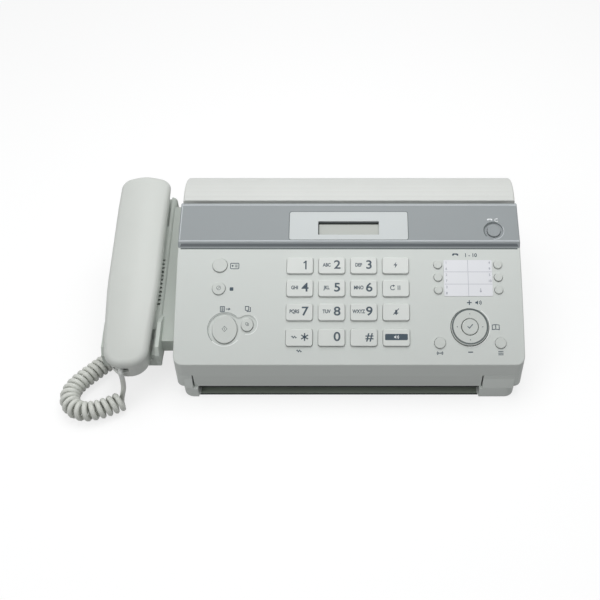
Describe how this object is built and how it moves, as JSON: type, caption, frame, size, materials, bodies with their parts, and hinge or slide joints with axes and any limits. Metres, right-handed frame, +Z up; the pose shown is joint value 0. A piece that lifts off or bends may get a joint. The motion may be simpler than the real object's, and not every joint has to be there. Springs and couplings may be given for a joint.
{
  "type": "fax machine",
  "caption": "Desk fax machine with a sloping control panel, a display band, a rear paper-roll cover and a corded handset in a side cradle.",
  "frame": {"origin": "centre of the underside of the bounding box of everything but the handset cord, on the table", "axes": "+Z up, -Y towards the user at the front of the machine, +X to the user's right"},
  "size_m": [0.3883, 0.2522, 0.1093],
  "materials": {
    "white_shell": "fine-textured off-white moulded plastic",
    "handset_shell": "fine-textured off-white moulded plastic, a little glossier where it is held",
    "band_grey": "bluish grey painted plastic",
    "display_plate": "silver painted plastic",
    "display_glass": "greyish green liquid crystal behind clear plastic",
    "key_plastic": "satin off-white key caps",
    "button_plastic": "satin off-white button caps",
    "card_paper": "printed card under clear film",
    "thermal_paper": "smooth coated paper",
    "board_green": "green circuit board",
    "soft_rubber": "dark matt rubber",
    "dark_plastic": "black moulded plastic",
    "head_metal": "mill-finish aluminium",
    "cord_plastic": "off-white flexible cord jacket",
    "clear_plastic": "clear plastic plug with an off-white lead"
  },
  "bodies": {
    "base": {"lower_cabinet": "white_shell", "feet": "soft_rubber", "rear_casing": "white_shell", "document_chassis": "dark_plastic", "image_sensor": "dark_plastic", "main_board": "board_green", "mains_inlet": "dark_plastic", "cradle": "white_shell", "cord_coil": "cord_plastic", "cord_lead": "cord_plastic"},
    "panel": {"panel_housing": "white_shell", "fascia_band": "band_grey", "lcd_plate": "display_plate", "lcd_module": "display_glass", "panel_board": "board_green", "directory_card": "card_paper", "inner_guide": "dark_plastic"},
    "cover": {"roll_cover": "white_shell", "thermal_head": "head_metal"},
    "handset": {"handset_back": "handset_shell", "handset_front": "handset_shell", "handset_capsules": "dark_plastic", "handset_plug": "clear_plastic"},
    "hook_lever": {"hook_lever": "white_shell"},
    "feed_roller": {"feed_roller": "soft_rubber"},
    "exit_roller": {"exit_roller": "soft_rubber"},
    "platen_roller": {"platen_roller": "soft_rubber"},
    "paper_roll": {"paper_roll": "thermal_paper"},
    "nav_gimbal": {"nav_gimbal": "dark_plastic"},
    "nav_ring": {"nav_ring": "button_plastic"},
    "key_1": {"key_1": "key_plastic"},
    "key_2": {"key_2": "key_plastic"},
    "key_3": {"key_3": "key_plastic"},
    "key_flash": {"key_flash": "key_plastic"},
    "key_4": {"key_4": "key_plastic"},
    "key_5": {"key_5": "key_plastic"},
    "key_6": {"key_6": "key_plastic"},
    "key_redial": {"key_redial": "key_plastic"},
    "key_7": {"key_7": "key_plastic"},
    "key_8": {"key_8": "key_plastic"},
    "key_9": {"key_9": "key_plastic"},
    "key_mute": {"key_mute": "key_plastic"},
    "key_star": {"key_star": "key_plastic"},
    "key_0": {"key_0": "key_plastic"},
    "key_hash": {"key_hash": "key_plastic"},
    "key_monitor": {"key_monitor": "key_plastic"},
    "one_touch_1": {"one_touch_1": "button_plastic"},
    "one_touch_2": {"one_touch_2": "button_plastic"},
    "one_touch_3": {"one_touch_3": "button_plastic"},
    "one_touch_4": {"one_touch_4": "button_plastic"},
    "one_touch_5": {"one_touch_5": "button_plastic"},
    "one_touch_6": {"one_touch_6": "button_plastic"},
    "caller_button": {"caller_button": "button_plastic"},
    "stop_button": {"stop_button": "button_plastic"},
    "broadcast_button": {"broadcast_button": "button_plastic"},
    "menu_button": {"menu_button": "button_plastic"},
    "start_button": {"start_button": "button_plastic"},
    "copy_button": {"copy_button": "button_plastic"},
    "set_button": {"set_button": "button_plastic"},
    "auto_button": {"auto_button": "button_plastic"}
  },
  "joints": [
    {"name": "panel_open", "type": "hinge", "parent": "base", "child": "panel", "pos_m": [0.03078, 0.01609, 0.0998], "axis": [-1, 0, 0], "range_deg": [0, 45]},
    {"name": "cover_open", "type": "hinge", "parent": "base", "child": "cover", "pos_m": [0.03078, 0.10999, 0.0286], "axis": [-1, 0, 0], "range_deg": [0, 80]},
    {"name": "handset_lift", "type": "slide", "parent": "base", "child": "handset", "axis": [0, -0.2656, 0.9641], "range_m": [0, 0.06]},
    {"name": "hook_switch", "type": "hinge", "parent": "base", "child": "hook_lever", "pos_m": [-0.15242, 0.05579, 0.0713], "axis": [-1, 0, 0], "range_deg": [0, 12]},
    {"name": "feed_spin", "type": "hinge", "parent": "base", "child": "feed_roller", "pos_m": [0.02218, 0.00197, 0.06699], "axis": [1, 0, 0], "continuous": true},
    {"name": "exit_spin", "type": "hinge", "parent": "base", "child": "exit_roller", "pos_m": [0.02218, -0.06605, 0.03233], "axis": [1, 0, 0], "continuous": true},
    {"name": "platen_spin", "type": "hinge", "parent": "base", "child": "platen_roller", "pos_m": [0.03078, 0.05759, 0.08259], "axis": [1, 0, 0], "continuous": true},
    {"name": "paper_spin", "type": "hinge", "parent": "base", "child": "paper_roll", "pos_m": [0.03078, 0.07909, 0.0475], "axis": [1, 0, 0], "continuous": true},
    {"name": "nav_up_down", "type": "hinge", "parent": "panel", "child": "nav_gimbal", "pos_m": [0.13108, -0.0763, 0.05198], "axis": [1, 0, 0], "range_deg": [-2, 2], "stiffness_Nm_per_rad": 0.15},
    {"name": "nav_left_right", "type": "hinge", "parent": "nav_gimbal", "child": "nav_ring", "pos_m": [0.13108, -0.0763, 0.05198], "axis": [0, 0.8397, 0.5431], "range_deg": [-2, 2], "stiffness_Nm_per_rad": 0.15},
    {"name": "press_key_1", "type": "slide", "parent": "panel", "child": "key_1", "axis": [0, 0.48, -0.8772], "range_m": [0, 0.0008], "stiffness_N_per_m": 500, "springref_m": -0.0005},
    {"name": "press_key_2", "type": "slide", "parent": "panel", "child": "key_2", "axis": [0, 0.48, -0.8772], "range_m": [0, 0.0008], "stiffness_N_per_m": 500, "springref_m": -0.0005},
    {"name": "press_key_3", "type": "slide", "parent": "panel", "child": "key_3", "axis": [0, 0.48, -0.8772], "range_m": [0, 0.0008], "stiffness_N_per_m": 500, "springref_m": -0.0005},
    {"name": "press_key_flash", "type": "slide", "parent": "panel", "child": "key_flash", "axis": [0, 0.48, -0.8772], "range_m": [0, 0.0008], "stiffness_N_per_m": 500, "springref_m": -0.0005},
    {"name": "press_key_4", "type": "slide", "parent": "panel", "child": "key_4", "axis": [0, 0.5041, -0.8637], "range_m": [0, 0.0008], "stiffness_N_per_m": 500, "springref_m": -0.0005},
    {"name": "press_key_5", "type": "slide", "parent": "panel", "child": "key_5", "axis": [0, 0.5041, -0.8637], "range_m": [0, 0.0008], "stiffness_N_per_m": 500, "springref_m": -0.0005},
    {"name": "press_key_6", "type": "slide", "parent": "panel", "child": "key_6", "axis": [0, 0.5041, -0.8637], "range_m": [0, 0.0008], "stiffness_N_per_m": 500, "springref_m": -0.0005},
    {"name": "press_key_redial", "type": "slide", "parent": "panel", "child": "key_redial", "axis": [0, 0.5041, -0.8637], "range_m": [0, 0.0008], "stiffness_N_per_m": 500, "springref_m": -0.0005},
    {"name": "press_key_7", "type": "slide", "parent": "panel", "child": "key_7", "axis": [0, 0.5285, -0.849], "range_m": [0, 0.0008], "stiffness_N_per_m": 500, "springref_m": -0.0005},
    {"name": "press_key_8", "type": "slide", "parent": "panel", "child": "key_8", "axis": [0, 0.5285, -0.849], "range_m": [0, 0.0008], "stiffness_N_per_m": 500, "springref_m": -0.0005},
    {"name": "press_key_9", "type": "slide", "parent": "panel", "child": "key_9", "axis": [0, 0.5285, -0.849], "range_m": [0, 0.0008], "stiffness_N_per_m": 500, "springref_m": -0.0005},
    {"name": "press_key_mute", "type": "slide", "parent": "panel", "child": "key_mute", "axis": [0, 0.5285, -0.849], "range_m": [0, 0.0008], "stiffness_N_per_m": 500, "springref_m": -0.0005},
    {"name": "press_key_star", "type": "slide", "parent": "panel", "child": "key_star", "axis": [0, 0.5534, -0.8329], "range_m": [0, 0.0008], "stiffness_N_per_m": 500, "springref_m": -0.0005},
    {"name": "press_key_0", "type": "slide", "parent": "panel", "child": "key_0", "axis": [0, 0.5534, -0.8329], "range_m": [0, 0.0008], "stiffness_N_per_m": 500, "springref_m": -0.0005},
    {"name": "press_key_hash", "type": "slide", "parent": "panel", "child": "key_hash", "axis": [0, 0.5534, -0.8329], "range_m": [0, 0.0008], "stiffness_N_per_m": 500, "springref_m": -0.0005},
    {"name": "press_key_monitor", "type": "slide", "parent": "panel", "child": "key_monitor", "axis": [0, 0.5534, -0.8329], "range_m": [0, 0.0008], "stiffness_N_per_m": 500, "springref_m": -0.0005},
    {"name": "press_one_touch_1", "type": "slide", "parent": "panel", "child": "one_touch_1", "axis": [0, 0.4788, -0.8779], "range_m": [0, 0.0008], "stiffness_N_per_m": 500, "springref_m": -0.0005},
    {"name": "press_one_touch_2", "type": "slide", "parent": "panel", "child": "one_touch_2", "axis": [0, 0.4923, -0.8704], "range_m": [0, 0.0008], "stiffness_N_per_m": 500, "springref_m": -0.0005},
    {"name": "press_one_touch_3", "type": "slide", "parent": "panel", "child": "one_touch_3", "axis": [0, 0.5055, -0.8628], "range_m": [0, 0.0008], "stiffness_N_per_m": 500, "springref_m": -0.0005},
    {"name": "press_one_touch_4", "type": "slide", "parent": "panel", "child": "one_touch_4", "axis": [0, 0.4788, -0.8779], "range_m": [0, 0.0008], "stiffness_N_per_m": 500, "springref_m": -0.0005},
    {"name": "press_one_touch_5", "type": "slide", "parent": "panel", "child": "one_touch_5", "axis": [0, 0.4923, -0.8704], "range_m": [0, 0.0008], "stiffness_N_per_m": 500, "springref_m": -0.0005},
    {"name": "press_one_touch_6", "type": "slide", "parent": "panel", "child": "one_touch_6", "axis": [0, 0.5055, -0.8628], "range_m": [0, 0.0008], "stiffness_N_per_m": 500, "springref_m": -0.0005},
    {"name": "press_caller_button", "type": "slide", "parent": "panel", "child": "caller_button", "axis": [0, 0.4794, -0.8776], "range_m": [0, 0.0008], "stiffness_N_per_m": 500, "springref_m": -0.0005},
    {"name": "press_stop_button", "type": "slide", "parent": "panel", "child": "stop_button", "axis": [0, 0.5041, -0.8637], "range_m": [0, 0.0008], "stiffness_N_per_m": 500, "springref_m": -0.0005},
    {"name": "press_broadcast_button", "type": "slide", "parent": "panel", "child": "broadcast_button", "axis": [0, 0.5585, -0.8295], "range_m": [0, 0.0008], "stiffness_N_per_m": 500, "springref_m": -0.0005},
    {"name": "press_menu_button", "type": "slide", "parent": "panel", "child": "menu_button", "axis": [0, 0.5586, -0.8294], "range_m": [0, 0.0008], "stiffness_N_per_m": 500, "springref_m": -0.0005},
    {"name": "press_start_button", "type": "slide", "parent": "panel", "child": "start_button", "axis": [0, 0.5453, -0.8382], "range_m": [0, 0.0008], "stiffness_N_per_m": 500, "springref_m": -0.0005},
    {"name": "press_copy_button", "type": "slide", "parent": "panel", "child": "copy_button", "axis": [0, 0.5407, -0.8412], "range_m": [0, 0.0008], "stiffness_N_per_m": 500, "springref_m": -0.0005},
    {"name": "press_set_button", "type": "slide", "parent": "panel", "child": "set_button", "axis": [0, 0.5431, -0.8397], "range_m": [0, 0.0008], "stiffness_N_per_m": 500, "springref_m": -0.0005},
    {"name": "press_auto_button", "type": "slide", "parent": "panel", "child": "auto_button", "axis": [0, 0.3322, -0.9432], "range_m": [0, 0.0008], "stiffness_N_per_m": 500, "springref_m": -0.0005}
  ],
  "couplings": [
    {"joint": "hook_switch", "follows": "handset_lift", "rad_per_m": 3.4903},
    {"joint": "exit_spin", "follows": "feed_spin", "ratio": 1},
    {"joint": "platen_spin", "follows": "paper_spin", "ratio": -3.125}
  ]
}
